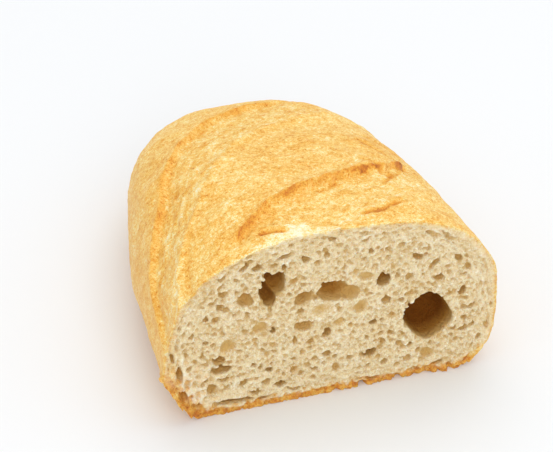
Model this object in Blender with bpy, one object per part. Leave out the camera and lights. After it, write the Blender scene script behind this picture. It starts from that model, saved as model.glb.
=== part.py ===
"""Half of a small free-form white loaf, cut straight across and lying on its baked base.

The loaf runs along Y. The cut face is the flat plane at -Y, the rounded tail is at +Y, and
the base is the plane z = 0. The origin is the middle of the loaf's footprint box, so the
cut face is at y = -LENGTH / 2. A loaf is baked as one piece, so it is one closed solid.
"""

import math

import bmesh
import bpy
from mathutils import Matrix, Vector
from mathutils.bvhtree import BVHTree

MM = 0.001

# Outer size
LENGTH = 115 * MM
WIDTH = 95 * MM
CROWN = 56 * MM             # height of the crust along the middle, at the cut face
BELLY = 20 * MM             # height at which the loaf is widest
BASE_SHARE = 0.77           # width of the flat base, as a share of the full width

# Roundness of the section: exponents of the superellipses above and below the belly
DOME_EXPONENT = 2.45
UNDERSIDE_EXPONENT = 2.2

# Roundness towards the tail: each outline follows (1 - share ** first) ** (1 / second)
PLAN_TAPER = (2.3, 2.55)
TOP_TAPER = (1.7, 2.0)
NOSE_HEIGHT = 15 * MM       # height of the tail's foremost point
BASE_LIFT_START = 0.78      # share of the length after which the base curls up

# Mesh density
RINGS = 46
DOME_STEPS = 48
UNDERSIDE_STEPS = 6
BASE_STEPS = 8

# The two scores cut in the dough before baking. Each list follows the raised lip, near the
# crust, and the opened band lies to the right of it, seen from outside. A corner is its x, how
# far it lies behind the cut face, and its height, in millimetres.
FRONT_LIP = [(-23, 10, 53), (-11, 20, 55), (0, 25, 55), (12, 30, 53), (23, 31, 51), (33, 37, 45)]
SIDE_LIP = [(-47, 7, 29), (-46, 18, 33), (-42, 35, 38), (-35, 52, 43), (-26, 68, 43),
            (-14, 82, 42), (-3, 89, 40)]
FRONT_BAND = {"lip": FRONT_LIP, "width": 24 * MM, "depth": 2.6 * MM}
SIDE_BAND = {"lip": SIDE_LIP, "width": 19 * MM, "depth": 2.4 * MM}
LIP_RISE = 0.8 * MM         # how far a lip stands above the crust
LIP_REACH = 5 * MM          # how far back from its edge the lip fades out
STEP_WIDTH = 4 * MM         # run of the step down from a lip to its band
SCORE_FADE = 8 * MM         # length over which a score runs out past its ends
SCORE_FOOT = 16 * MM        # height above the belly at which a score has its full depth

# Air pockets that the knife opened, in the plane of the cut face:
# x, z, width, height, depth, turn in degrees
POCKETS = [
    (26.5, 19.0, 17.5, 12.5, 12.0, -42),
    (-17.7, 39.3, 6.5, 11.0, 8.0, -12),
    (1.0, 35.0, 11.5, 7.0, 5.0, -8),
    (-9.4, 34.6, 5.5, 3.6, 3.0, 15),
    (14.0, 36.2, 4.6, 4.0, 3.5, 0),
    (-32.8, 16.6, 6.0, 5.0, 3.5, -20),
]
POCKET_SINK = 0.22          # how far a pocket's centre lies behind the face, over its depth

CRUST_COLOUR = (0.78, 0.47, 0.16, 1.0)
CRUST_ROUGHNESS = 0.7


def superellipse(angle, half_width, height, exponent):
    """Point of a superellipse, with 0 at its +X end and a quarter turn at its top."""
    across = math.copysign(abs(math.cos(angle)) ** (2 / exponent), math.cos(angle))
    upward = abs(math.sin(angle)) ** (2 / exponent)
    return half_width * across, height * upward


def taper(share, exponents):
    """How much of an outline is left at a share of the way from the cut face to the tail."""
    first, second = exponents
    return max(0.0, 1 - share ** first) ** (1 / second)


def section(share):
    """The closed section at one station, from the belly at +X over the crown and around."""
    half_width = WIDTH / 2 * taper(share, PLAN_TAPER)
    lift = max(0.0, share - BASE_LIFT_START) / (1 - BASE_LIFT_START)
    floor = NOSE_HEIGHT * (1 - math.sqrt(max(0.0, 1 - lift ** 2)))
    belly = BELLY + (NOSE_HEIGHT - BELLY) * share
    belly = max(belly, floor)
    crown = NOSE_HEIGHT + (CROWN - NOSE_HEIGHT) * taper(share, TOP_TAPER)
    points = []
    for step in range(DOME_STEPS):
        x, z = superellipse(math.pi * step / DOME_STEPS, half_width, crown - belly, DOME_EXPONENT)
        points.append((x, belly + z))
    base_half = half_width * BASE_SHARE * math.sqrt(max(0.0, 1 - lift ** 2))
    underside = []
    for step in range(UNDERSIDE_STEPS):
        angle = math.pi / 2 * step / UNDERSIDE_STEPS
        x, z = superellipse(angle, half_width - base_half, belly - floor, UNDERSIDE_EXPONENT)
        underside.append((base_half + x, belly - z))
    points += [(-x, z) for x, z in underside]
    for step in range(BASE_STEPS + 1):
        points.append((base_half * (2 * step / BASE_STEPS - 1), floor))
    points += underside[:0:-1]
    return points


def loaf_body():
    """Skin the sections from the cut face to the tail, and close both ends."""
    mesh = bmesh.new()
    rings = []
    for ring in range(RINGS):
        share = math.sin(math.pi / 2 * ring / RINGS)
        y = LENGTH * (share - 0.5)
        rings.append([mesh.verts.new((x, y, z)) for x, z in section(share)])
    around = len(rings[0])
    for near, far in zip(rings, rings[1:]):
        for i in range(around):
            j = (i + 1) % around
            mesh.faces.new((near[i], far[i], far[j], near[j]))
    tail = mesh.verts.new((0, LENGTH / 2, NOSE_HEIGHT))
    for i in range(around):
        mesh.faces.new((rings[-1][i], tail, rings[-1][(i + 1) % around]))
    mesh.faces.new(rings[0])
    bmesh.ops.recalc_face_normals(mesh, faces=mesh.faces)
    mesh.normal_update()
    return mesh


def nearest_on_lip(point, corners):
    """Nearest point on a lip, the lip's direction there, and the overshoot past its ends."""
    best = None
    for start, end in zip(corners, corners[1:]):
        run = end - start
        share = (point - start).dot(run) / run.length_squared
        inside = min(1.0, max(0.0, share))
        foot = start + run * inside
        distance = (point - foot).length
        if best is None or distance < best[0]:
            best = (distance, foot, run.normalized(), abs(share - inside) * run.length)
    return best[1:]


def score_shift(point, normal, corners, band):
    """How far a score moves the crust along its normal: down in the band, up at the lip."""
    foot, direction, overshoot = nearest_on_lip(point, corners)
    across = (point - foot).dot(direction.cross(normal))
    fade = max(0.0, 1 - overshoot / SCORE_FADE)
    if across < 0:
        return LIP_RISE * math.exp(across / LIP_REACH) * fade
    step = min(1.0, across / STEP_WIDTH)
    recovery = max(0.0, 1 - across / band["width"])
    return fade * (LIP_RISE * (1 - step) - band["depth"] * step * recovery)


def open_scores(mesh):
    """Sink the opened bands and raise their lips, leaving the base and the cut plane flat."""
    crust = BVHTree.FromBMesh(mesh)
    scores = []
    for band in (FRONT_BAND, SIDE_BAND):
        places = [Vector((x * MM, y * MM - LENGTH / 2, z * MM)) for x, y, z in band["lip"]]
        corners = [crust.find_nearest(place)[0] for place in places]
        scores.append((corners, band))
    shifts = []
    for vert in mesh.verts:
        normal = vert.normal.copy()
        on_cut = vert.co.y < -LENGTH / 2 + 1e-6
        if on_cut:
            normal = Vector((vert.co.x / (WIDTH / 2), 0, vert.co.z / CROWN)).normalized()
        hold = min(1.0, max(0.0, (vert.co.z - BELLY) / SCORE_FOOT))
        shift = sum(score_shift(vert.co, normal, corners, band) for corners, band in scores)
        shifts.append(normal * shift * hold)
    for vert, shift in zip(mesh.verts, shifts):
        vert.co += shift


def air_pockets():
    """One cutter mesh: an uneven ball for each pocket, standing a little out of the cut."""
    mesh = bmesh.new()
    for x, z, width, height, depth, turn in POCKETS:
        detail = 3 if max(width, height) > 9 else 2
        ball = bmesh.ops.create_icosphere(mesh, subdivisions=detail, radius=0.5)["verts"]
        for vert in ball:
            ripple = math.sin(9 * vert.co.x + x) * math.sin(7 * vert.co.z + z)
            vert.co *= 1 + 0.08 * ripple
        place = Matrix.Translation(Vector((x * MM, -LENGTH / 2 + depth * MM * POCKET_SINK, z * MM)))
        size = Matrix.Diagonal((width * MM, 2 * depth * MM * (1 - POCKET_SINK), height * MM, 1))
        tilt = Matrix.Rotation(math.radians(-turn), 4, "Y")
        bmesh.ops.transform(mesh, matrix=place @ tilt @ size, verts=ball)
    return mesh


def add_object(name, mesh):
    data = bpy.data.meshes.new(name)
    mesh.to_mesh(data)
    mesh.free()
    item = bpy.data.objects.new(name, data)
    bpy.context.scene.collection.objects.link(item)
    return item


def crust_material():
    material = bpy.data.materials.new("baked_crust")
    material.use_nodes = True
    shader = material.node_tree.nodes["Principled BSDF"]
    shader.inputs["Base Color"].default_value = CRUST_COLOUR
    shader.inputs["Roughness"].default_value = CRUST_ROUGHNESS
    shader.inputs["Metallic"].default_value = 0.0
    return material


def main():
    for item in list(bpy.data.objects):
        bpy.data.objects.remove(item)

    body = loaf_body()
    open_scores(body)
    loaf = add_object("loaf_half", body)
    loaf.data.materials.append(crust_material())
    loaf.data.shade_smooth()
    loaf.data.set_sharp_from_angle(angle=math.radians(40))

    cutter = add_object("air_pocket_cutter", air_pockets())
    cutter.hide_render = True
    cutter.display_type = "WIRE"
    opened = loaf.modifiers.new("air_pockets", "BOOLEAN")
    opened.operation = "DIFFERENCE"
    opened.solver = "EXACT"
    opened.object = cutter


main()
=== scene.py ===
# %% [markdown]
# # Half of a small white loaf
#
# A loaf is baked in one piece, so this is one closed mesh with two finishes: the crust, and
# the crumb that the knife laid open. The work goes in the order in which a real half loaf
# comes about. The skin is shaped, the scores open in the oven, the gas leaves bubbles, the
# knife cuts, and then both surfaces get their colours.

import math
import random

import bpy
import numpy as np
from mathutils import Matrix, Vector, noise
from mathutils.bvhtree import BVHTree


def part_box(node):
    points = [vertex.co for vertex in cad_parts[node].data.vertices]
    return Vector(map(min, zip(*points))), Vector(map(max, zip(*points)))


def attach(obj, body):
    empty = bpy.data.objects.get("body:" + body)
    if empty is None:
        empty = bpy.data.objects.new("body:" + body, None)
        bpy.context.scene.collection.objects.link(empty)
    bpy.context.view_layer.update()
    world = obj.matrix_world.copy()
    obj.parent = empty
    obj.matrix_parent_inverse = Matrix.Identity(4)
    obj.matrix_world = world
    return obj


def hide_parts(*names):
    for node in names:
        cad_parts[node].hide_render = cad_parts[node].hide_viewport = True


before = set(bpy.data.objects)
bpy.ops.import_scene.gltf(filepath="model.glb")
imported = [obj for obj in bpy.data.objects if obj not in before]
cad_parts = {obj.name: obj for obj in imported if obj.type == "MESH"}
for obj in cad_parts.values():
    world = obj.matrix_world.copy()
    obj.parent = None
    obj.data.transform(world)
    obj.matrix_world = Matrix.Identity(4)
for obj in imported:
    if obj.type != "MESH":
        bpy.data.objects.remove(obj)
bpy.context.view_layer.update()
low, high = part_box("loaf_half")
MM = 0.001
print("frame box in mm:", [round(v / MM, 1) for v in (*low, *high)])

# %% [markdown]
# ## Helpers
#
# Every operator works on whatever is selected, and the frame comes in selected. So each step
# starts from nothing selected. Points are moved in bulk as numpy arrays, which keeps a dense
# skin quick to shape. Sculpting by hand would give the same forms, but a rule can be read,
# changed and run again.

# %% Selection, points and modifiers


def deselect():
    if bpy.context.object and bpy.context.object.mode != "OBJECT":
        bpy.ops.object.mode_set(mode="OBJECT")
    bpy.ops.object.select_all(action="DESELECT")


def activate(item):
    deselect()
    item.select_set(True)
    bpy.context.view_layer.objects.active = item


def points_of(item):
    flat = np.empty(len(item.data.vertices) * 3)
    item.data.vertices.foreach_get("co", flat)
    return flat.reshape(-1, 3)


def normals_of(item):
    flat = np.empty(len(item.data.vertices) * 3)
    item.data.vertex_normals.foreach_get("vector", flat)
    return flat.reshape(-1, 3)


def move_points(item, points):
    item.data.vertices.foreach_set("co", points.ravel())
    item.data.update()


def keep_values(item, name, values):
    """Keep one number per point under a name that a material can read."""
    layer = item.data.attributes.get(name) or item.data.attributes.new(name, "FLOAT", "POINT")
    layer.data.foreach_set("value", values)


def apply_modifier(item, kind, **settings):
    activate(item)
    modifier = item.modifiers.new(kind.lower(), kind)
    for name, value in settings.items():
        setattr(modifier, name, value)
    bpy.ops.object.modifier_apply(modifier=modifier.name)


# %% Noise and soft steps
LUMP_GAIN = 1.6


def lumps(points, size, seed=0.0):
    """Smooth random values, about -1 to 1, whose lumps are `size` across."""
    scaled = points / size + seed
    return np.array([noise.noise(point) for point in scaled.tolist()]) * LUMP_GAIN


def ease(value, start, end):
    """0 before start, 1 after end, and a smooth rise between."""
    share = np.clip((value - start) / (end - start), 0, 1)
    return share * share * (3 - 2 * share)


def mound(*axes):
    """1 in the middle, 0 far off. An axis is values in metres, then middle and reach in mm."""
    return np.exp(-sum(((value - middle * MM) / (reach * MM)) ** 2 for value, middle, reach in axes))


# %% [markdown]
# ## The skin
#
# The outside of the loaf is a grid wrapped around a rule: every section is a dome over a
# rounded underside with a flat base, and the sections narrow and sink towards the tail. A
# rule keeps the surface even, and a wrapped grid keeps the quads square, which a stretched
# ball doesn't do. The skin runs a little past the cut, so that the knife has bread to cut.

# %% Section and taper of the loaf
WIDTH, LENGTH, CROWN = (high - low)
BELLY = 20 * MM
NOSE = 15 * MM
BASE_SHARE = 0.77
LIFT_START = 0.78
PAST_CUT = 0.045
PLAN_TAPER = (2.3, 2.55)
TOP_TAPER = (1.7, 2.0)
# exponents of a rounded square: 2 is an ellipse, less is flatter, more is squarer
DOME, UNDERSIDE, LEFT_UNDERSIDE = (2.45, 2.2, 1.7)
# shares of the way round at which the dome, the left underside and the flat base end
DOME_END, LEFT_END, BASE_END = (0.53, 0.62, 0.91)
AROUND, ALONG = (300, 190)
WELD = 1e-6


def outline_power(angle, exponent):
    """How far across and how far up a point of a rounded square lies, each 0 to 1."""
    return np.abs(np.cos(angle)) ** (2 / exponent), np.abs(np.sin(angle)) ** (2 / exponent)


def loaf_skin(u, share):
    """The point at u round the section, 0 to 1 from the right belly over the top."""
    inside = np.clip(share, 0, 1)
    half = WIDTH / 2 * (1 - inside ** PLAN_TAPER[0]) ** (1 / PLAN_TAPER[1])
    crown = NOSE + (CROWN - NOSE) * (1 - inside ** TOP_TAPER[0]) ** (1 / TOP_TAPER[1])
    lift = np.clip((inside - LIFT_START) / (1 - LIFT_START), 0, 1)
    floor = NOSE * (1 - np.sqrt(1 - lift ** 2))
    belly = np.maximum(BELLY + (NOSE - BELLY) * inside, floor)
    base = half * BASE_SHARE * np.sqrt(1 - lift ** 2)

    across, up = outline_power(np.pi * u / DOME_END, DOME)
    x = np.where(u < DOME_END / 2, 1, -1) * half * across
    z = belly + (crown - belly) * up
    turn = np.where(u < BASE_END, (u - DOME_END) / (LEFT_END - DOME_END), (1 - u) / (1 - BASE_END))
    roundness = np.where(u < BASE_END, LEFT_UNDERSIDE, UNDERSIDE)
    across, down = outline_power(np.pi / 2 * np.clip(turn, 0, 1), roundness)
    side = np.where(u < BASE_END, -1, 1)
    under = u > DOME_END
    x = np.where(under, side * (base + (half - base) * across), x)
    z = np.where(under, belly - (belly - floor) * down, z)
    flat = (u > LEFT_END) & (u < BASE_END)
    x = np.where(flat, base * (2 * (u - LEFT_END) / (BASE_END - LEFT_END) - 1), x)
    z = np.where(flat, floor, z)
    return np.stack([x, low.y + LENGTH * share, z], axis=-1)


# %% Wrap a grid into the skin and close it
deselect()
bpy.ops.mesh.primitive_grid_add(x_subdivisions=AROUND, y_subdivisions=ALONG, size=2)
loaf = bpy.context.object
loaf.name = loaf.data.name = "half_loaf"
grid = (points_of(loaf) + 1) / 2
share = (1 + PAST_CUT) * np.sin(np.pi / 2 * grid[:, 1]) - PAST_CUT
move_points(loaf, loaf_skin(grid[:, 0], share))
bpy.ops.object.mode_set(mode="EDIT")
bpy.ops.mesh.select_all(action="SELECT")
bpy.ops.mesh.remove_doubles(threshold=WELD)
bpy.ops.mesh.select_all(action="DESELECT")
bpy.ops.mesh.select_non_manifold()
bpy.ops.mesh.edge_face_add()
bpy.ops.mesh.select_all(action="SELECT")
bpy.ops.mesh.normals_make_consistent(inside=False)
bpy.ops.object.mode_set(mode="OBJECT")
print("skin:", len(loaf.data.vertices), "points")

# %% [markdown]
# ## The scores
#
# Before baking, the dough is slashed. In the oven the loaf swells through each slash: one
# edge lifts into a thin lip that browns first, and the torn dough beside it stays paler and
# rough. A score could be cut with curves and a bevel, but its edge would be too clean. Here
# each score is a curve laid on the skin, and the distance from it, to the left or to the
# right, says how far a point moves and how brown it gets.

# %% Curves laid on the crust
# a corner is its x, how far it lies behind the cut, and its height, all in mm
FRONT_LIP = [(-24, 9, 53), (-17, 15, 54), (-11, 20, 55), (0, 25, 55), (12, 30, 53),
             (23, 33, 51), (32, 37, 46)]
FRONT_EDGE = [(-27, 4, 52), (-18, 2, 54), (-8, -1, 56), (2, 0, 56), (11, 5.5, 55),
              (20, 10, 53), (30, 18, 48), (37, 26, 43)]
SIDE_LIP = [(-47.5, 5, 27), (-46.5, 15, 31), (-44, 28, 36), (-39.5, 40, 41), (-33, 56, 43),
            (-22, 74, 43), (-12, 84, 41), (-2, 89, 39), (10, 93, 35)]
SIDE_EDGE = [(-44, -2, 38), (-40, 11, 43), (-35, 22, 47), (-27, 35, 50), (-17, 51, 50),
             (-7, 62, 48.5), (9, 71, 46), (22, 75, 40)]
# corners, width in mm, strength
CREASES = [
    ([(-19, 6, 54), (-16, 5.5, 55), (-12, 4.5, 55)], 0.9, 0.9),
    ([(10, 6.5, 55), (14.3, 6.5, 55), (18.3, 8.8, 54), (22, 11, 53)], 0.8, 1.0),
    ([(18, 31.6, 52), (21, 32.6, 51.5), (25, 34, 50)], 0.7, 0.7),
    ([(22.4, 23.6, 52), (26, 28, 50.5), (30.5, 32.5, 48)], 0.8, 0.7),
    ([(24, 52.2, 47.3), (27.1, 48.3, 47), (29.8, 42.7, 46.7), (33.5, 35, 45)], 1.0, 0.5),
    ([(27.7, 59.5, 44), (31.1, 56, 43), (35, 48, 41)], 1.0, 0.4),
    ([(20.5, 38, 51), (24, 33.5, 50.5), (26, 27, 49.5)], 0.8, 0.45),
    ([(2, 22, 55), (6, 24, 55), (9, 26.5, 54)], 0.7, 0.6),
    ([(-30, 38, 48), (-32, 32, 48), (-34.5, 25, 46.5)], 0.8, 0.25),
    ([(-34, 20, 47), (-38, 10, 44), (-40, 0, 43)], 0.9, 0.25),
]
# the same, for tears that stay pale
PALE_TEARS = [
    ([(-21, 35, 51), (-22, 29, 52), (-22.2, 23, 52.6)], 0.9, 0.9),
    ([(-23.4, 25, 52), (-23.2, 19, 52.6), (-22.6, 14, 52.8)], 0.8, 0.8),
    ([(-6, 66.8, 47.3), (-11, 57.8, 49.2), (-17, 46.7, 50.6)], 0.8, 0.6),
    ([(-29.6, 39, 48.4), (-31, 35, 48), (-32.2, 30.5, 47.9)], 0.7, 0.8),
    ([(-31.5, 41, 46.8), (-33, 35, 46.6)], 0.7, 0.5),
    ([(-38, 22, 44.5), (-40.7, 11, 42.6), (-42, 3, 40)], 0.8, 0.4),
    ([(-27, 50, 47.5), (-30, 45, 47)], 0.8, 0.6),
    ([(-8, 10, 55.6), (0, 13, 56), (6, 16, 55.6)], 0.9, 0.5),
]
# small burst bubbles in the crust
PITS = [(-32.4, 44.5, 45.4), (-32.7, 40.1, 46.2), (-5.1, 10.9, 55.3), (-2.2, 75.9, 44.7),
        (6.6, 71.5, 45.8), (-17.2, 8.9, 54.3), (-37.5, 27, 43)]
print("creases:", len(CREASES), "pale tears:", len(PALE_TEARS), "pits:", len(PITS))

# %% Lay a curve on the skin and measure from it
skin_tree = BVHTree.FromObject(loaf, bpy.context.evaluated_depsgraph_get())
ROUNDINGS = 3
CORNER_CUT = 0.25


def on_skin(corners):
    """Round the corners of a rough curve and lay it on the skin."""
    curve = np.array(corners, dtype=float) * MM + (0, low.y, 0)
    for _ in range(ROUNDINGS):
        near = curve[:-1] * (1 - CORNER_CUT) + curve[1:] * CORNER_CUT
        far = curve[:-1] * CORNER_CUT + curve[1:] * (1 - CORNER_CUT)
        middle = np.stack([near, far], axis=1).reshape(-1, 3)
        curve = np.concatenate([curve[:1], middle, curve[-1:]])
    return np.array([skin_tree.find_nearest(Vector(point))[0] for point in curve])


def beside(points, normals, curve):
    """Distance to the right of a curve on the skin, distance past its ends, share along it."""
    best = np.full(len(points), np.inf)
    right, past, along = np.zeros((3, len(points)))
    for i, (start, end) in enumerate(zip(curve, curve[1:])):
        run = end - start
        length = np.linalg.norm(run)
        raw = (points - start) @ run / length ** 2
        held = np.clip(raw, 0, 1)
        gap = points - (start + held[:, None] * run)
        distance = np.linalg.norm(gap, axis=1)
        closer = distance < best
        best = np.where(closer, distance, best)
        sideways = np.einsum("ij,ij->i", gap, np.cross(run / length, normals))
        right = np.where(closer, np.sign(sideways) * np.abs(distance), right)
        past = np.where(closer, np.abs(raw - held) * length, past)
        along = np.where(closer, (i + held) / (len(curve) - 1), along)
    return right, past, along


# %% [markdown]
# ### How the crust moves and browns
#
# Two numbers are worked out for every point of the skin. `shift` is how far it moves outwards.
# `toast` is how brown it is, from 0 for raw dough to 1 for burnt crust. Each fold and tear
# adds its own share to both, so the colour always follows the shape.

# %% Start from an even golden crust with gentle lumps
GOLD = 0.42
skin, outward = points_of(loaf), normals_of(loaf)
shift = 0.9 * MM * lumps(skin, size=30 * MM, seed=3.1)
shift = shift + 0.35 * MM * lumps(skin, size=9 * MM, seed=7.7)
toast = GOLD + 0.05 * lumps(skin, size=22 * MM, seed=8)
toast = toast + 0.05 * lumps(skin, size=6 * MM, seed=15)
print("gentle lumps in mm:", round(shift.min() / MM, 2), "to", round(shift.max() / MM, 2))

# %% Open the two scores
# lip, far edge, then in mm: depth, rise of the lip, rise of the far edge; glow under the lip
SCORES = [(FRONT_LIP, FRONT_EDGE, 1.6, 1.1, 0.3, 0.09),
          (SIDE_LIP, SIDE_EDGE, 1.8, 0.35, 0.9, 0.03)]
WANDER = 0.45 * MM
RUN_OUT = 9 * MM
LIP_STEP = (-0.2 * MM, 1.2 * MM)
FAR_STEP = (-1 * MM, 2.5 * MM)
LIP_REACH, FAR_REACH, GLOW_REACH = (1.8 * MM, 2.2 * MM, 4 * MM)
SHREDS_ALONG, SHRED_WIDTH = (20, 1.9 * MM)

for lip_points, edge_points, depth, rise, far_lift, glow in SCORES:
    lip_right, lip_past, lip_along = beside(skin, outward, on_skin(lip_points))
    edge_right, edge_past, _ = beside(skin, outward, on_skin(edge_points))
    wander = WANDER * lumps(skin, size=7 * MM, seed=11)
    inside, outside = (lip_right + wander, -edge_right + wander)

    # the torn band falls off the lip and rises again to its far edge
    fade = 1 - ease(np.minimum(lip_past, 20 * MM), 0, RUN_OUT)
    open_band = ease(inside, *LIP_STEP) * ease(outside, *FAR_STEP) * fade
    ends = np.sin(np.pi * np.clip(lip_along * 0.7 + 0.1, 0, 1)) ** 0.5
    recovery = 1 - 0.75 * ease(inside / np.maximum(inside + outside, MM), 0.1, 0.9)
    shift -= depth * MM * open_band * recovery * ends

    # both edges stand up
    lifted = np.exp(-np.abs(inside) / LIP_REACH) * (inside < 0.5 * MM)
    shift += rise * MM * lifted * fade * ends
    far_rise = np.exp(-np.abs(outside) / FAR_REACH) * (1 - ease(edge_past, 0, 8 * MM))
    shift += far_lift * MM * far_rise

    # the band is drawn out in shreds that run along it
    stretched = np.stack([lip_along * SHREDS_ALONG, inside / SHRED_WIDTH, skin[:, 1] * 0], axis=-1)
    shreds = lumps(stretched, size=1.0, seed=5)
    shreds += 0.5 * lumps(skin, size=1.7 * MM, seed=14)
    shift += open_band * MM * (0.35 * np.abs(shreds) + 0.2 * lumps(skin, size=1.6 * MM, seed=2))

    # the lip browns first, the far edge stays pale
    browned_part = np.clip(0.85 + 0.5 * lumps(skin, size=9 * MM, seed=4), 0.25, 1.2)
    under_lip = recovery * np.exp(-np.maximum(inside, 0) / GLOW_REACH)
    toast += open_band * (0.1 * shreds - 0.03 + glow * under_lip * browned_part)
    line = mound((inside, 0.1, 0.6)) * fade
    toast += (0.24 + 0.14 * lip_along) * rise * line * browned_part
    pale_edge = mound((outside, 0.8, 1.8)) * (1 - ease(edge_past, 0, 6 * MM))
    toast -= 0.16 * pale_edge * ease(lumps(skin, size=3 * MM, seed=9), -0.1, 0.7)
    print("score opened:", depth, "mm deep, its lip", rise, "mm up")

# %% Fold, tear and pit the crust
for corners, width, strength in CREASES:
    right, past, _ = beside(skin, outward, on_skin(corners))
    spread = np.hypot(right + 0.5 * MM * lumps(skin, size=2.5 * MM, seed=6), past)
    groove = mound((spread, 0, width))
    ridge = mound((spread, 2.2 * width, 1.4 * width))
    shift += strength * MM * (0.4 * ridge - 0.8 * groove)
    # darker in the groove of each fold: partly browning along the fold, partly painted shade in the
    # groove
    toast += 0.34 * groove * strength

for corners, width, strength in PALE_TEARS:
    right, past, _ = beside(skin, outward, on_skin(corners))
    spread = np.hypot(right + 1.1 * MM * lumps(skin, size=2 * MM, seed=18), past)
    broken = ease(lumps(skin, size=1.8 * MM, seed=19), -0.5, 0.3)
    tear = mound((spread, 0, width)) * broken
    shift += 0.35 * strength * MM * tear
    toast -= 0.22 * strength * tear

for pit in PITS:
    spread = np.linalg.norm(skin - on_skin([pit, pit])[0], axis=1)
    hollow = mound((spread, 0, 0.6))
    shift -= 0.5 * MM * hollow
    toast += 0.35 * hollow
print("browning:", round(toast.min(), 2), "to", round(toast.max(), 2))

# %% Flare the torn corner, roughen the crust and flatten the base
TORN_CORNER_RISE = 1.3 * MM
GRAIN_RISE = 0.14 * MM
BASE_RISE = 0.25 * MM
BASE_TOAST = 0.32
flare = mound((skin[:, 2], 15, 4), (skin[:, 1] - low.y, 0, 5))
flare *= (skin[:, 0] < 0) * (1 + 0.5 * lumps(skin, size=1.8 * MM, seed=23))
shift += TORN_CORNER_RISE * flare
shift += GRAIN_RISE * lumps(skin, size=2.2 * MM, seed=21)
toast += BASE_TOAST * ease(-outward[:, 2], 0.25, 0.8)

# the base keeps its place, and is rough only upwards, so that the loaf rests flat
dome = np.maximum(ease(skin[:, 2], 4 * MM, 14 * MM), flare)
rough_base = BASE_RISE * np.abs(lumps(skin, size=3 * MM, seed=13))
skin = skin + outward * (shift * dome)[:, None]
skin[:, 2] = np.maximum(skin[:, 2], 0)
skin[:, 2] += (1 - dome) * rough_base * (skin[:, 2] < 0.3 * MM)
move_points(loaf, skin)
print("shift in mm:", round(shift.min() / MM, 2), "to", round(shift.max() / MM, 2))

# %% Thin the skin, and keep the browning on it
SKIN_KEPT = 0.55
keep_values(loaf, "toast", toast)
apply_modifier(loaf, "DECIMATE", ratio=SKIN_KEPT)
print("crust:", len(loaf.data.polygons), "faces")

# %% [markdown]
# ## The bubbles
#
# Crumb is foam: thousands of gas cells, a few of them large. A bump map could fake it, but the
# big cells are deep and dark, and their torn rims show. Each cell is a dented ball. They are
# laid from the largest to the smallest, and a new one may only just bite into those that are
# there, which leaves the thin walls that make crumb look like crumb. Near the crust the cells
# are pressed flat along it.

# %% The cells that show
CUT = low.y
# x, z, width, height, depth, turn in degrees, how far the middle lies behind the cut
CELLS = [
    (27.8, 20.2, 15.5, 12.6, 9.0, -58, 2.2),
    (-16.8, 40.8, 6.8, 8.6, 5.5, -14, 1.8), (-18.7, 38.4, 4.6, 5.4, 5.0, 0, 2.0),
    (-17.6, 35.6, 3.4, 4.4, 4.5, 0, 2.2),
    (0.0, 35.2, 9.4, 6.6, 3.8, -4, 0.9), (4.8, 33.6, 6.4, 5.0, 2.6, -12, 0.3),
    (-24.6, 37.3, 4.4, 4.8, 2.6, 20, 0.5), (-8.2, 34.5, 6.0, 4.2, 2.8, 18, 0.5),
    (-3.4, 29.9, 10.0, 4.2, 1.8, 4, -0.9), (8.1, 27.8, 5.4, 4.4, 2.0, -8, -0.3),
    (14.4, 35.8, 4.4, 4.2, 3.6, 0, 1.2), (9.2, 38.3, 5.2, 3.0, 1.8, -10, -0.2),
    (-8.0, 25.1, 5.4, 3.6, 2.4, 4, 0.4), (-1.7, 21.1, 3.0, 2.9, 2.4, -20, 0.6),
    (-20.5, 27.3, 4.6, 4.2, 1.9, 10, -0.2), (-16.9, 25.2, 1.6, 1.6, 2.4, 0, 1.0),
    (2.0, 24.3, 4.4, 3.6, 1.8, -10, -0.4), (-10.7, 20.6, 1.4, 2.8, 1.8, 0, 0.5),
    (-6.4, 19.1, 2.4, 2.2, 1.6, 0, 0.2), (11.2, 11.3, 3.8, 2.6, 3.2, 22, 1.3),
    (5.0, 11.0, 2.0, 1.6, 1.6, 15, 0.4), (28.0, 7.2, 4.4, 3.6, 2.0, -6, 0.0),
    (22.6, 11.6, 2.0, 1.8, 1.8, 0, 0.4), (19.5, 12.7, 2.4, 2.2, 1.8, 0, 0.3),
    (14.7, 14.3, 1.8, 2.2, 1.6, 0, 0.4), (16.9, 16.9, 1.9, 1.8, 1.6, 0, 0.4),
    (11.7, 21.8, 2.6, 1.6, 2.4, 10, 0.9), (15.3, 28.9, 3.0, 2.8, 2.2, 0, 0.4),
    (22.0, 29.4, 3.8, 1.8, 1.6, 8, 0.0), (-29.7, 22.8, 4.8, 6.0, 1.9, -15, -0.2),
    (-32.1, 18.5, 3.8, 3.0, 2.6, -10, 0.8), (-31.7, 15.2, 6.0, 2.6, 2.8, 5, 0.8),
    (-30.7, 11.6, 3.0, 1.6, 1.8, 0, 0.3), (-34.4, 9.2, 3.2, 3.4, 2.2, 0, 0.2),
    (-33.0, 32.6, 2.4, 2.2, 1.6, 20, 0.2), (-24.1, 33.0, 1.4, 1.5, 1.6, 0, 0.5),
    (-13.7, 45.9, 1.6, 1.6, 2.0, 0, 0.6), (-13.9, 49.7, 4.6, 1.4, 2.0, 8, 0.6),
    (-4.5, 45.6, 2.0, 1.9, 1.6, 0, 0.3), (-24.8, 48.2, 3.2, 1.4, 1.8, 28, 0.5),
    (-22.5, 14.9, 2.0, 1.5, 1.6, 10, 0.4), (-18.0, 12.2, 2.0, 1.9, 2.2, 0, 0.8),
    (-14.6, 6.3, 3.2, 1.9, 2.4, 5, 0.8), (-11.0, 14.3, 1.6, 1.4, 1.6, 0, 0.4),
    (-5.0, 9.5, 2.0, 1.5, 1.6, 0, 0.3), (30.5, 33.0, 3.0, 2.6, 2.2, -20, 0.6),
    (37.5, 27.0, 2.4, 3.2, 2.4, -20, 0.8), (24.0, 41.5, 3.4, 2.0, 2.0, -25, 0.4),
]
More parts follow.
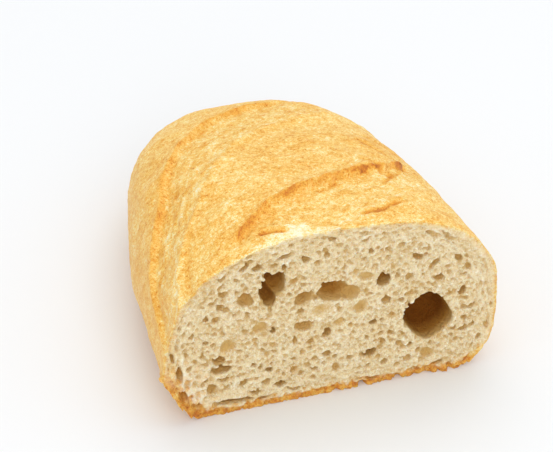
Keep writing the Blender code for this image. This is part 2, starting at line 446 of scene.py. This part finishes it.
RIND_CELLS = [
    (-28.6, 3.6, 11.5, 1.7, 3.6, -3, 0.9), (-19.5, 2.6, 4.0, 1.1, 1.8, -3, 0.5),
    (-43.3, 16.5, 1.9, 5.0, 2.4, 8, 0.6), (-42.6, 9.6, 2.2, 5.4, 2.4, 22, 0.6),
    (-38.9, 5.2, 1.9, 4.6, 2.2, 52, 0.5), (-45.1, 22.5, 1.2, 3.6, 1.8, 4, 0.4),
    (12.0, 2.2, 4.0, 1.1, 1.8, 0, 0.4), (31.0, 3.0, 4.4, 1.3, 1.8, 6, 0.4),
]
print("cells placed by hand:", len(CELLS) + len(RIND_CELLS))

# %% Where a cell may lie
RIND = 0.9 * MM
WALL = -0.03 * MM
OUTLINE_POINTS = 400
ring = np.linspace(0, 1, OUTLINE_POINTS, endpoint=False)
outline = loaf_skin(ring, np.zeros(OUTLINE_POINTS))[:, [0, 2]]


def rind_gap(x, z):
    """Distance from the outline, and the outline's direction at the nearest point."""
    spans = outline - (x, z)
    nearest = np.argmin((spans ** 2).sum(axis=1))
    tangent = outline[(nearest + 1) % OUTLINE_POINTS] - outline[nearest - 1]
    return np.hypot(*spans[nearest]), math.degrees(math.atan2(tangent[1], tangent[0]))


def within_outline(x, z):
    """True if a line from the point to the right crosses the outline an odd number of times."""
    ahead = np.roll(outline, -1, axis=0)
    crosses = (outline[:, 1] > z) != (ahead[:, 1] > z)
    slope = (ahead[:, 0] - outline[:, 0]) / np.where(crosses, ahead[:, 1] - outline[:, 1], 1)
    return np.count_nonzero(crosses & (x < outline[:, 0] + slope * (z - outline[:, 1]))) % 2 == 1


# %% Lay the random cells, from the largest to the smallest
# tries, smallest and largest radius in mm
SIZES = [(60, 0.95, 1.3), (1500, 0.62, 0.95), (7000, 0.46, 0.62), (12000, 0.36, 0.46)]
SEED = 41
# shares of a placed cell's narrow and wide side that the random cells keep out of
CORE_SHARES = (0.46, 0.36)
PRESSED_WITHIN, FREE_BEYOND = (1.5 * MM, 9 * MM)

draw = random.Random(SEED)
cells = [tuple(v * MM if i != 5 else v for i, v in enumerate(cell)) for cell in CELLS + RIND_CELLS]
centres = np.array([(x, back, z) for x, z, _, _, _, _, back in cells])
reach = np.array([max(CORE_SHARES[0] * min(w, h), CORE_SHARES[1] * max(w, h))
                  for _, _, w, h, _, _, _ in cells])
for count, smallest, largest in SIZES:
    for _ in range(count):
        radius = draw.uniform(smallest, largest) * MM
        x, z = (draw.uniform(-WIDTH / 2, WIDTH / 2), draw.uniform(0, CROWN))
        back = draw.uniform(-0.35, 0.9) * radius
        if not within_outline(x, z):
            continue
        gap, slant = rind_gap(x, z)
        if gap < RIND + 0.6 * radius:
            continue
        distances = np.linalg.norm(centres - (x, back, z), axis=1)
        if np.any(distances < reach + radius + WALL):
            continue
        # near the crust a cell is long, shallow and in line with it
        free = float(ease(np.array(gap), PRESSED_WITHIN, FREE_BEYOND))
        stretch = draw.uniform(1.0, 1.35) + 0.9 * (1 - free)
        turn = slant if free < 0.7 else draw.uniform(-50, 50)
        squeeze = 2 * radius / stretch ** 0.5
        dig = radius * (0.85 + 0.3 * free)
        cells.append((x, z, squeeze * stretch, squeeze, dig, turn, back))
        centres = np.vstack([centres, (x, back, z)])
        reach = np.append(reach, radius)
print("cells:", len(cells))

# %% Three balls to copy, finer for larger cells
deselect()
balls = {}
for detail in (2, 3, 4):
    bpy.ops.mesh.primitive_ico_sphere_add(subdivisions=detail, radius=1)
    ball = bpy.context.object
    corners = np.array([tuple(polygon.vertices) for polygon in ball.data.polygons])
    balls[detail] = (points_of(ball), corners)
    bpy.data.objects.remove(ball)
print("faces of a ball:", [len(corners) for _, corners in balls.values()])

# %% Dent, stretch and turn a ball for every cell
MIDDLING, LARGE, WIDEST = (2.2 * MM, 8 * MM, 12 * MM)
BOXY = (0.72, 1, 0.72)
all_points, all_faces, used = ([], [], 0)
for number, (x, z, width, height, depth, turn, back) in enumerate(cells):
    detail = 4 if width > LARGE else 3 if width > MIDDLING else 2
    ball, corners = balls[detail]
    widest = width > WIDEST
    dents = 0.05 if widest else 0.16
    swell = 1 + dents * lumps(ball, size=0.8, seed=number * 1.7)
    if widest:
        ball = np.sign(ball) * np.abs(ball) ** BOXY
    shaped = ball * swell[:, None] * (width / 2, depth, height / 2)
    angle = math.radians(turn)
    turned = np.stack([
        shaped[:, 0] * math.cos(angle) - shaped[:, 2] * math.sin(angle),
        shaped[:, 1],
        shaped[:, 0] * math.sin(angle) + shaped[:, 2] * math.cos(angle)], axis=-1)
    all_points.append(turned + (x, CUT + back, z))
    all_faces.append(corners + used)
    used += len(ball)
print("balls:", used, "points")

# %% [markdown]
# ## The knife
#
# One solid does the cutting: a slab in front of the cut, joined to every cell that reaches
# it. A voxel remesh melts slab and cells into one skin and softens the cell rims, and what
# doesn't touch the slab is thrown away, because a closed bubble inside the bread is never
# seen. Taking that solid from the loaf leaves a real cut face with real pores. Thousands of
# separate cuts would take far longer and could fail at any of them.

# %% Join the slab and the cells, melt them together
VOXEL = 0.26 * MM
SLAB, MARGIN = (8 * MM, 12 * MM)
deselect()
bpy.ops.mesh.primitive_cube_add(size=1, location=(0, CUT - SLAB / 2, CROWN / 2))
knife = bpy.context.object
knife.name = knife.data.name = "knife"
bpy.ops.transform.resize(value=(WIDTH + MARGIN, SLAB, CROWN + MARGIN))
bpy.ops.object.transform_apply(location=True, rotation=True, scale=True)

bubbles = bpy.data.meshes.new("bubbles")
bubbles.from_pydata(np.concatenate(all_points).tolist(), [], np.concatenate(all_faces).tolist())
gas = bpy.data.objects.new("gas", bubbles)
bpy.context.collection.objects.link(gas)
activate(knife)
gas.select_set(True)
bpy.ops.object.join()
apply_modifier(knife, "REMESH", mode="VOXEL", voxel_size=VOXEL)
print("melted:", len(knife.data.polygons), "faces")

# %% Throw away what doesn't hang together


def keep_largest_body(item):
    """Delete every body of a mesh but the one with the most points."""
    count = len(item.data.vertices)
    ends = np.empty(len(item.data.edges) * 2, dtype=np.int64)
    item.data.edges.foreach_get("vertices", ends)
    ends = ends.reshape(-1, 2)
    label = np.arange(count)
    while True:
        lowest = np.minimum(label[ends[:, 0]], label[ends[:, 1]])
        updated = label.copy()
        np.minimum.at(updated, ends[:, 0], lowest)
        np.minimum.at(updated, ends[:, 1], lowest)
        updated = updated[updated]
        if np.array_equal(updated, label):
            break
        label = updated
    names, sizes = np.unique(label, return_counts=True)
    keep = label == names[np.argmax(sizes)]
    activate(item)
    bpy.ops.object.mode_set(mode="EDIT")
    bpy.ops.mesh.select_mode(type="VERT")
    bpy.ops.mesh.select_all(action="DESELECT")
    bpy.ops.object.mode_set(mode="OBJECT")
    item.data.vertices.foreach_set("select", ~keep)
    bpy.ops.object.mode_set(mode="EDIT")
    bpy.ops.mesh.delete(type="VERT")
    bpy.ops.object.mode_set(mode="OBJECT")
    print("bodies:", len(names), "kept points:", int(keep.sum()), "of", count)


keep_largest_body(knife)

# %% [markdown]
# ### The torn cut
#
# A knife drags on soft crumb, so the cut face is never quite flat. Low down, where the crust
# is hard, it breaks in small bites, and at the lower left corner and near the right end it
# holds on and comes away past the cut. All of this is moved into the knife's own face, before
# it cuts: forwards leaves bread standing, backwards takes some away.

# %% Make the knife's face uneven
TREMBLE = 0.12 * MM
surface = points_of(knife)
tremble = np.stack([lumps(surface, size=1.1 * MM, seed=seed) for seed in (31, 37, 43)], axis=-1)
surface = surface + TREMBLE * tremble
drag = 0.2 * MM * lumps(surface, size=4 * MM, seed=47)
surface[:, 1] += drag + 0.16 * MM * lumps(surface, size=1.8 * MM, seed=49)
print("drag in mm:", round(drag.min() / MM, 2), "to", round(drag.max() / MM, 2))

# %% Break the crust's edge, and thin the knife
KNIFE_FACES = 150000
# in mm: what breaks off, and what stays on
BITE, FINE_BITE, CORNER_HOLDS, FLAKE = (2.2, 0.8, 2.3, 1.6)
x, z = (surface[:, 0], surface[:, 2])
in_plane = surface * (1, 0, 1)
at_face = 1 - ease(np.abs(surface[:, 1] - CUT), 1.5 * MM, 5 * MM)
low_edge = 1 - ease(z, 0.8 * MM, 3.2 * MM)
bites = np.maximum(lumps(in_plane, size=2.6 * MM, seed=53) + 0.1, 0) * ease(x, -12 * MM, 10 * MM)
fine_bites = FINE_BITE * np.maximum(lumps(in_plane, size=1.1 * MM, seed=55), 0)
torn_corner = mound((x, -43, 5), (z, 6, 8))
flake = mound((x, 35, 3))
jagged = 0.7 + 0.8 * lumps(in_plane, size=1.6 * MM, seed=59)
surface[:, 1] += at_face * MM * ((BITE * bites + fine_bites) * low_edge
                                 - CORNER_HOLDS * torn_corner * jagged
                                 - FLAKE * flake * low_edge * jagged)
move_points(knife, surface)
apply_modifier(knife, "TRIANGULATE")
apply_modifier(knife, "DECIMATE", ratio=KNIFE_FACES / len(knife.data.polygons))
print("knife:", len(knife.data.polygons), "faces")

# %% Cut the loaf
crust = bpy.data.materials.new("baked_crust")
crumb = bpy.data.materials.new("open_crumb")
OF_CRUMB = 1
for item in (loaf, knife):
    item.data.materials.append(crust)
    item.data.materials.append(crumb)
all_crumb = np.full(len(knife.data.polygons), OF_CRUMB, dtype=np.int32)
knife.data.polygons.foreach_set("material_index", all_crumb)
uncut_tree = BVHTree.FromObject(loaf, bpy.context.evaluated_depsgraph_get())
apply_modifier(loaf, "BOOLEAN", operation="DIFFERENCE", solver="MANIFOLD", object=knife,
               material_mode="INDEX")
bpy.data.objects.remove(knife)
keep_largest_body(loaf)
apply_modifier(loaf, "TRIANGULATE")
print("loaf:", len(loaf.data.polygons), "triangles")

# %% Mend the few slivers that the cut leaves
SLIVER = 0.004 * MM
activate(loaf)
bpy.ops.object.mode_set(mode="EDIT")
bpy.ops.mesh.select_mode(type="EDGE")
bpy.ops.mesh.select_all(action="SELECT")
bpy.ops.mesh.remove_doubles(threshold=SLIVER)
bpy.ops.mesh.dissolve_degenerate(threshold=SLIVER)
bpy.ops.mesh.quads_convert_to_tris()
# a single triangle that hangs off the surface by one edge has two open edges
bpy.ops.mesh.select_all(action="DESELECT")
bpy.ops.mesh.select_non_manifold(use_multi_face=False, use_non_contiguous=False, use_verts=False)
bpy.ops.mesh.delete(type="EDGE")
bpy.ops.mesh.select_non_manifold()
bpy.ops.object.mode_set(mode="OBJECT")
flags = np.zeros(len(loaf.data.vertices), dtype=bool)
loaf.data.vertices.foreach_get("select", flags)
print("points on an open or doubled edge:", int(flags.sum()))
print("mended:", len(loaf.data.polygons), "triangles")

# %% [markdown]
# ## Each point's place in the bread
#
# The colour of crumb depends on where it lies: brown within the crust, golden beside it, and
# darker deep in a cell, which is painted shade for the light that gets in less there. The
# distance to the uncut skin and the distance behind the cut say so for every point. They are
# kept on the mesh by name, so that the materials can read them. A texture wrapped on the mesh
# would blur every small pore.

# %% How much of the cut face is crust
surface = points_of(loaf)
x, y, z = surface.T
gap = np.array([uncut_tree.find_nearest(Vector(point))[3] for point in surface.tolist()])
ragged_gap = gap * (1 + 0.45 * lumps(surface, size=1.3 * MM, seed=61))
corner = mound((x, -43, 9), (z, 6, 9))
low_down = 1 - ease(z, 3 * MM, 9 * MM)
thickness = MM * (0.6 + 2.3 * low_down + 2.4 * corner)
crusty = 1 - ease(ragged_gap, 0.45 * thickness, thickness)
crusty *= 1 - ease(y - CUT, 1.0 * MM, 2.5 * MM) * ease(gap, 0.3 * MM, 0.8 * MM)
print("crust at the cut in mm:", round(thickness.min() / MM, 2), "to", round(thickness.max() / MM, 2))

# %% The golden rim low on the left, and the soft edge all round
GOLDEN_REACH, SOFT_REACH, SOFT_SHARE = (4.0 * MM, 1.5 * MM, 0.5)
golden = np.exp(-(((x + 43 * MM) / (10 * MM)) ** 2 + ((z - 9 * MM) / (12 * MM)) ** 2) ** 2)
crusty = np.maximum(crusty, golden * np.exp(-(ragged_gap / GOLDEN_REACH) ** 4))
crusty = np.maximum(crusty, SOFT_SHARE * np.exp(-(ragged_gap / SOFT_REACH) ** 2))
print("points with some crust:", int(np.count_nonzero(crusty > SOFT_SHARE)))

# %% The pale strip above the cut, where the band tore last
STRIP_TOAST = 0.23
pale_reach = 3.6 * np.exp(-((x + 11 * MM) / (12 * MM)) ** 4) + 3.4 * mound((x, -8.5, 5))
pale_reach = MM * (pale_reach + 2.0 * lumps(surface, size=2.4 * MM, seed=67))
pale = 1 - ease(y - CUT, pale_reach - 2.0 * MM, pale_reach + 0.8 * MM)
pale *= ease(z, 45 * MM, 50 * MM)
print("pale points:", int(np.count_nonzero(pale > 0.5)))

# %% Keep browning, crust and depth on the mesh
DEPTH_UNIT = 8 * MM
SMOOTH_UP_TO = math.radians(50)
toast = np.empty(len(surface))
loaf.data.attributes["toast"].data.foreach_get("value", toast)
of_crumb = np.zeros(len(surface), dtype=bool)
for polygon in loaf.data.polygons:
    if polygon.material_index == OF_CRUMB:
        of_crumb[list(polygon.vertices)] = True
edge_toast = 0.36 + 0.27 * (1 - ease(z, 1.0 * MM, 5 * MM)) + 0.2 * golden
edge_toast = np.minimum(edge_toast, 0.68)
edge_toast += 0.14 * lumps(surface, 1.5 * MM, seed=63) + 0.1 * lumps(surface, 0.7 * MM, seed=64)
toast = np.where(of_crumb, edge_toast, toast) - STRIP_TOAST * pale
keep_values(loaf, "toast", toast)
keep_values(loaf, "crusty", crusty)
keep_values(loaf, "depth", (y - CUT) / DEPTH_UNIT)
activate(loaf)
bpy.ops.object.shade_smooth_by_angle(angle=SMOOTH_UP_TO)
print("crumb points:", int(of_crumb.sum()), "of", len(surface))

# %% [markdown]
# ## The finishes
#
# Crust and crumb are the same dough, baked for longer or shorter. So one ramp from raw dough
# to dark crust gives all the browning, and a node group holds it, because the crust and the
# crust's cut edge both need it. The grain of both surfaces is finer than a triangle, so it is
# made of noise on Object coordinates, which stays put and needs no unwrapping.

# %% Node helpers


def connect(tree, socket, value):
    """Link another node's output to a socket, or set the socket to a plain value."""
    if isinstance(value, bpy.types.NodeSocket):
        tree.links.new(value, socket)
    else:
        socket.default_value = value


def add_node(tree, kind, **inputs):
    """A node with its sockets set; a socket given another node's output is linked to it."""
    node = tree.nodes.new(kind)
    for name, value in inputs.items():
        connect(tree, node.inputs[name.replace("_", " ")], value)
    return node


def attribute(tree, name):
    node = tree.nodes.new("ShaderNodeAttribute")
    node.attribute_name = name
    return node.outputs["Fac"]


def grain(tree, place, size, detail=3.0, roughness=0.55):
    """Noise whose grains are `size` across, in metres."""
    node = add_node(tree, "ShaderNodeTexNoise", Vector=place, Scale=1 / size, Detail=detail,
                    Roughness=roughness)
    return node.outputs["Fac"]


def remap(tree, value, start, end, low_value=0.0, high_value=1.0):
    """Turn start to end into low_value to high_value, and hold it beyond both."""
    node = add_node(tree, "ShaderNodeMapRange", Value=value)
    node.inputs["From Min"].default_value = start
    node.inputs["From Max"].default_value = end
    node.inputs["To Min"].default_value = low_value
    node.inputs["To Max"].default_value = high_value
    return node.outputs["Result"]


def mix(tree, share, first, second):
    """The first colour at share 0, the second at share 1."""
    node = tree.nodes.new("ShaderNodeMix")
    node.data_type = "RGBA"
    factor, colour_a, colour_b = (node.inputs[0], node.inputs[6], node.inputs[7])
    for socket, value in ((factor, share), (colour_a, first), (colour_b, second)):
        connect(tree, socket, value)
    return node.outputs[2]


def maths(tree, operation, first, second):
    node = tree.nodes.new("ShaderNodeMath")
    node.operation = operation
    connect(tree, node.inputs[0], first)
    connect(tree, node.inputs[1], second)
    return node.outputs[0]


def colour(red, green, blue):
    """A display colour, 0 to 255, as the linear value that a shader takes."""
    def linear(value):
        value = value / 255
        return value / 12.92 if value <= 0.04045 else ((value + 0.055) / 1.055) ** 2.4
    return (linear(red), linear(green), linear(blue), 1.0)


# %% [markdown]
# ### Browning
#
# Real crust isn't one brown: patches, granules and floury specks each take the heat in their
# own way. Three noises move the browning up and down before the ramp turns it into a colour.
# Well browned crust is more even than pale crust, so the noises calm down as it darkens.

# %% Browning, shared by the crust and by its cut edge
BROWNING = [(0.0, (254, 246, 214)), (0.2, (252, 228, 156)), (0.42, (244, 196, 100)),
            (0.6, (234, 168, 62)), (0.76, (208, 126, 40)), (1.0, (136, 66, 20))]
PATCH, GRANULE, SPECK = (2.6 * MM, 0.9 * MM, 0.4 * MM)
browning = bpy.data.node_groups.new("browning", "ShaderNodeTree")
browning.interface.new_socket("Place", in_out="INPUT", socket_type="NodeSocketVector")
browning.interface.new_socket("Toast", in_out="INPUT", socket_type="NodeSocketFloat")
browning.interface.new_socket("Colour", in_out="OUTPUT", socket_type="NodeSocketColor")
browning.interface.new_socket("Height", in_out="OUTPUT", socket_type="NodeSocketFloat")
given = browning.nodes.new("NodeGroupInput").outputs
result = browning.nodes.new("NodeGroupOutput").inputs
mottle = grain(browning, given["Place"], PATCH, 3)
granules = grain(browning, given["Place"], GRANULE, 3, 0.6)
specks = grain(browning, given["Place"], SPECK, 2, 0.5)
calm = remap(browning, given["Toast"], GOLD, 0.75, 1.0, 0.35)
degree = given["Toast"]
for noise_value, swing in ((mottle, 0.11), (granules, 0.19), (specks, -0.18)):
    change = remap(browning, noise_value, 0.3, 0.7, -swing, swing)
    degree = maths(browning, "ADD", degree, maths(browning, "MULTIPLY", change, calm))
ramp = browning.nodes.new("ShaderNodeValToRGB")
stops = ramp.color_ramp.elements
while len(stops) < len(BROWNING):
    stops.new(0.5)
for stop, (position, shade) in zip(stops, BROWNING):
    stop.position = position
    stop.color = colour(*shade)
browning.links.new(degree, ramp.inputs["Fac"])
browning.links.new(ramp.outputs["Color"], result["Colour"])
browning.links.new(maths(browning, "ADD", mottle, granules), result["Height"])
print("browning:", len(browning.nodes), "nodes")


def browned(tree, place):
    """The browning group in a material: its colour and its height."""
    node = tree.nodes.new("ShaderNodeGroup")
    node.node_tree = browning
    tree.links.new(place, node.inputs["Place"])
    tree.links.new(attribute(tree, "toast"), node.inputs["Toast"])
    return node.outputs["Colour"], node.outputs["Height"]


# %% [markdown]
# ### The crust
#
# Baked crust is dry and matt, with a little light going through its thin skin. Steep and
# downward-facing parts are mixed towards a duller beige by the surface's own slope.
# The granules lift the surface as well as colouring it, which gives the fine sandy look.

# %% The crust's material
CRUST_GRAIN = 0.35 * MM
DULL_SHARE = 0.35
crust.use_nodes = True
tree = crust.node_tree
shader = tree.nodes["Principled BSDF"]
place = tree.nodes.new("ShaderNodeTexCoord").outputs["Object"]
base, height = browned(tree, place)
facing = add_node(tree, "ShaderNodeSeparateXYZ",
                  Vector=tree.nodes.new("ShaderNodeNewGeometry").outputs["Normal"]).outputs["Z"]
dull = mix(tree, DULL_SHARE, base, colour(232, 184, 124))
base = mix(tree, remap(tree, facing, 0.1, 0.65), dull, base)
tree.links.new(base, shader.inputs["Base Color"])
shader.inputs["Roughness"].default_value = 0.6
shader.inputs["Specular IOR Level"].default_value = 0.3
shader.inputs["Subsurface Weight"].default_value = 0.12
shader.inputs["Subsurface Radius"].default_value = (1.0, 0.5, 0.2)
shader.inputs["Subsurface Scale"].default_value = 1.2 * MM
bump = add_node(tree, "ShaderNodeBump", Strength=1.0, Distance=CRUST_GRAIN, Height=height)
tree.links.new(bump.outputs["Normal"], shader.inputs["Normal"])
print("crust:", len(tree.nodes), "nodes")

# %% [markdown]
# ### The crumb
#
# Between the cells that are cut in the mesh there are finer ones. Two foams of Voronoi walls
# stand for them, bent by noise, because real cells aren't straight-edged, and their middles get
# a darker tan as painted shade. The walls that the knife tore stand a little proud, and a paler
# cream on them is a painted highlight. The depth of a cell darkens it as painted shade. Cutting
# these cells in the mesh as well would take millions of triangles.

# %% The foam, and where it is pale or dark
def cell_walls(tree, place, size):
    """0 on the walls of a foam whose cells are `size` across, rising to the cell middles."""
    node = tree.nodes.new("ShaderNodeTexVoronoi")
    node.feature = "DISTANCE_TO_EDGE"
    tree.links.new(place, node.inputs["Vector"])
    node.inputs["Scale"].default_value = 1 / size
    return node.outputs["Distance"]


FOAM, FROTH, FINE = (1.1 * MM, 0.55 * MM, 0.5 * MM)
BEND, BEND_SIZE = (0.9 * MM, 1.2 * MM)
crumb.use_nodes = True
tree = crumb.node_tree
shader = tree.nodes["Principled BSDF"]
place = tree.nodes.new("ShaderNodeTexCoord").outputs["Object"]
patches = grain(tree, place, 7 * MM, 3)
fine = grain(tree, place, FINE, 3, 0.6)
wobble = add_node(tree, "ShaderNodeTexNoise", Vector=place, Scale=1 / BEND_SIZE, Detail=2.0)
bent = tree.nodes.new("ShaderNodeVectorMath")
bent.operation = "MULTIPLY_ADD"
tree.links.new(wobble.outputs["Color"], bent.inputs[0])
bent.inputs[1].default_value = (BEND, BEND, BEND)
tree.links.new(place, bent.inputs[2])
foam = cell_walls(tree, bent.outputs[0], FOAM)
froth = cell_walls(tree, bent.outputs[0], FROTH)
print("crumb grain:", len(tree.nodes), "nodes")

# %% The crumb's material
CRUMB_GRAIN = 0.2 * MM
EDGE_DULL_SHARE = 0.2
base = mix(tree, remap(tree, patches, 0.35, 0.65), colour(245, 227, 186), colour(234, 211, 163))
# painted shade: the middles of the fine foam cells, which the mesh doesn't hollow out, are mixed
# towards a darker tan
base = mix(tree, remap(tree, foam, 0.1, 0.4, 0.0, 0.55), base, colour(208, 169, 107))
base = mix(tree, remap(tree, froth, 0.12, 0.42, 0.0, 0.4), base, colour(206, 167, 105))
# painted shade: the further a point lies behind the cut, the darker and browner its colour
deep = attribute(tree, "depth")
for start, end, shade in ((0.03, 0.15, (216, 179, 112)), (0.16, 0.5, (184, 132, 54)),
                          (0.35, 0.9, (132, 76, 8))):
    base = mix(tree, remap(tree, deep, start, end), base, colour(*shade))
# pale flecks of fine noise that fade out deeper in the cells, and a painted highlight in pale cream
# on the torn walls that stand proud of the cut
flecks = remap(tree, fine, 0.5, 0.68, 0.0, 0.8)
flecks = maths(tree, "MULTIPLY", flecks, remap(tree, deep, 0.2, 0.03))
proud_highlight_and_flecks = maths(tree, "ADD", remap(tree, deep, 0.0, -0.05, 0.0, 0.6), flecks)
base = mix(tree, proud_highlight_and_flecks, base, colour(255, 248, 226))
rim, _ = browned(tree, place)
rim = mix(tree, EDGE_DULL_SHARE, rim, colour(204, 154, 98))
base = mix(tree, attribute(tree, "crusty"), base, rim)
tree.links.new(base, shader.inputs["Base Color"])
shader.inputs["Roughness"].default_value = 0.85
shader.inputs["Specular IOR Level"].default_value = 0.25
shader.inputs["Subsurface Weight"].default_value = 0.3
shader.inputs["Subsurface Radius"].default_value = (1.0, 0.75, 0.4)
shader.inputs["Subsurface Scale"].default_value = 1.5 * MM
walls = maths(tree, "ADD", remap(tree, foam, 0.0, 0.35, 1.0, 0.0),
              remap(tree, froth, 0.0, 0.3, 0.5, 0.0))
relief = maths(tree, "ADD", walls, fine)
bump = add_node(tree, "ShaderNodeBump", Strength=1.0, Distance=CRUMB_GRAIN, Height=relief)
tree.links.new(bump.outputs["Normal"], shader.inputs["Normal"])
print("crumb:", len(tree.nodes), "nodes")

# %% [markdown]
# ## What the loaf stands for
#
# The half loaf is one rigid body, so its mesh rides on the frame's only body and takes the
# place of the plain solid there. Nothing has to be joined or blended.

# %% Say what the loaf stands for
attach(loaf, "root")
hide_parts("loaf_half")
print("half_loaf stands for loaf_half")

# %% [markdown]
# ## Table and light
#
# A pale matt table lets the warm colour of bread stand out. Most of the light is soft and
# comes from all round. A large lamp above and behind draws the lips of the scores, and
# another one in front fills the cut face, as a window and a white card would. One small
# hard lamp would be simpler, but it would turn every pore into a black hole.

# %% The pale table
TABLE_SIZE = 6
deselect()
bpy.ops.mesh.primitive_plane_add(size=TABLE_SIZE, location=(0, 0, 0))
table = bpy.context.object
table.name = "table"
paper = bpy.data.materials.new("table_white")
paper.use_nodes = True
paper.node_tree.nodes["Principled BSDF"].inputs["Base Color"].default_value = colour(238, 240, 242)
paper.node_tree.nodes["Principled BSDF"].inputs["Roughness"].default_value = 0.6
table.data.materials.append(paper)
print("table:", TABLE_SIZE, "m wide")

# %% Soft light from all round, from behind and from in front
LAMPS = (("key", (150, 250, 950), 900, 2.6), ("fill", (-100, -1000, 600), 700, 3.4))
world = bpy.data.worlds.new("studio")
bpy.context.scene.world = world
world.use_nodes = True
world.node_tree.nodes["Background"].inputs["Color"].default_value = (0.99, 0.99, 0.99, 1)
world.node_tree.nodes["Background"].inputs["Strength"].default_value = 0.84
for name, place_mm, size_mm, watts in LAMPS:
    lamp = bpy.data.lights.new(name, "AREA")
    lamp.size = size_mm * MM
    lamp.energy = watts
    item = bpy.data.objects.new(name, lamp)
    bpy.context.collection.objects.link(item)
    item.location = Vector(place_mm) * MM
    item.rotation_euler = (-item.location).to_track_quat("-Z", "Y").to_euler()
print("lamps:", [name for name, *_ in LAMPS])

# %% [markdown]
# ## The camera
#
# It looks down on the half from the front left, at the angle at which one looks at a loaf on
# a table. A long lens from further off would flatten the loaf, and a short one from nearby
# would swell its cut face, so it stands about 60 cm away.

# %% The camera
DISTANCE = 600 * MM
TURN, RAISE = (math.radians(-18.9), math.radians(40.2))
LENS, SENSOR = (140, 36)
focus = Vector((0, low.y, 0))
aim = Vector((1.5 * MM, 0, 17 * MM))
camera = bpy.data.objects.new("camera", bpy.data.cameras.new("camera"))
bpy.context.collection.objects.link(camera)
away = Vector((math.sin(TURN) * math.cos(RAISE), -math.cos(TURN) * math.cos(RAISE), math.sin(RAISE)))
camera.location = focus + away * DISTANCE
camera.rotation_euler = (aim - camera.location).to_track_quat("-Z", "Y").to_euler()
camera.data.lens = LENS
camera.data.sensor_width = SENSOR
bpy.context.scene.camera = camera
bpy.context.scene.view_settings.view_transform = "Standard"
print("camera at mm:", [round(v / MM) for v in camera.location])
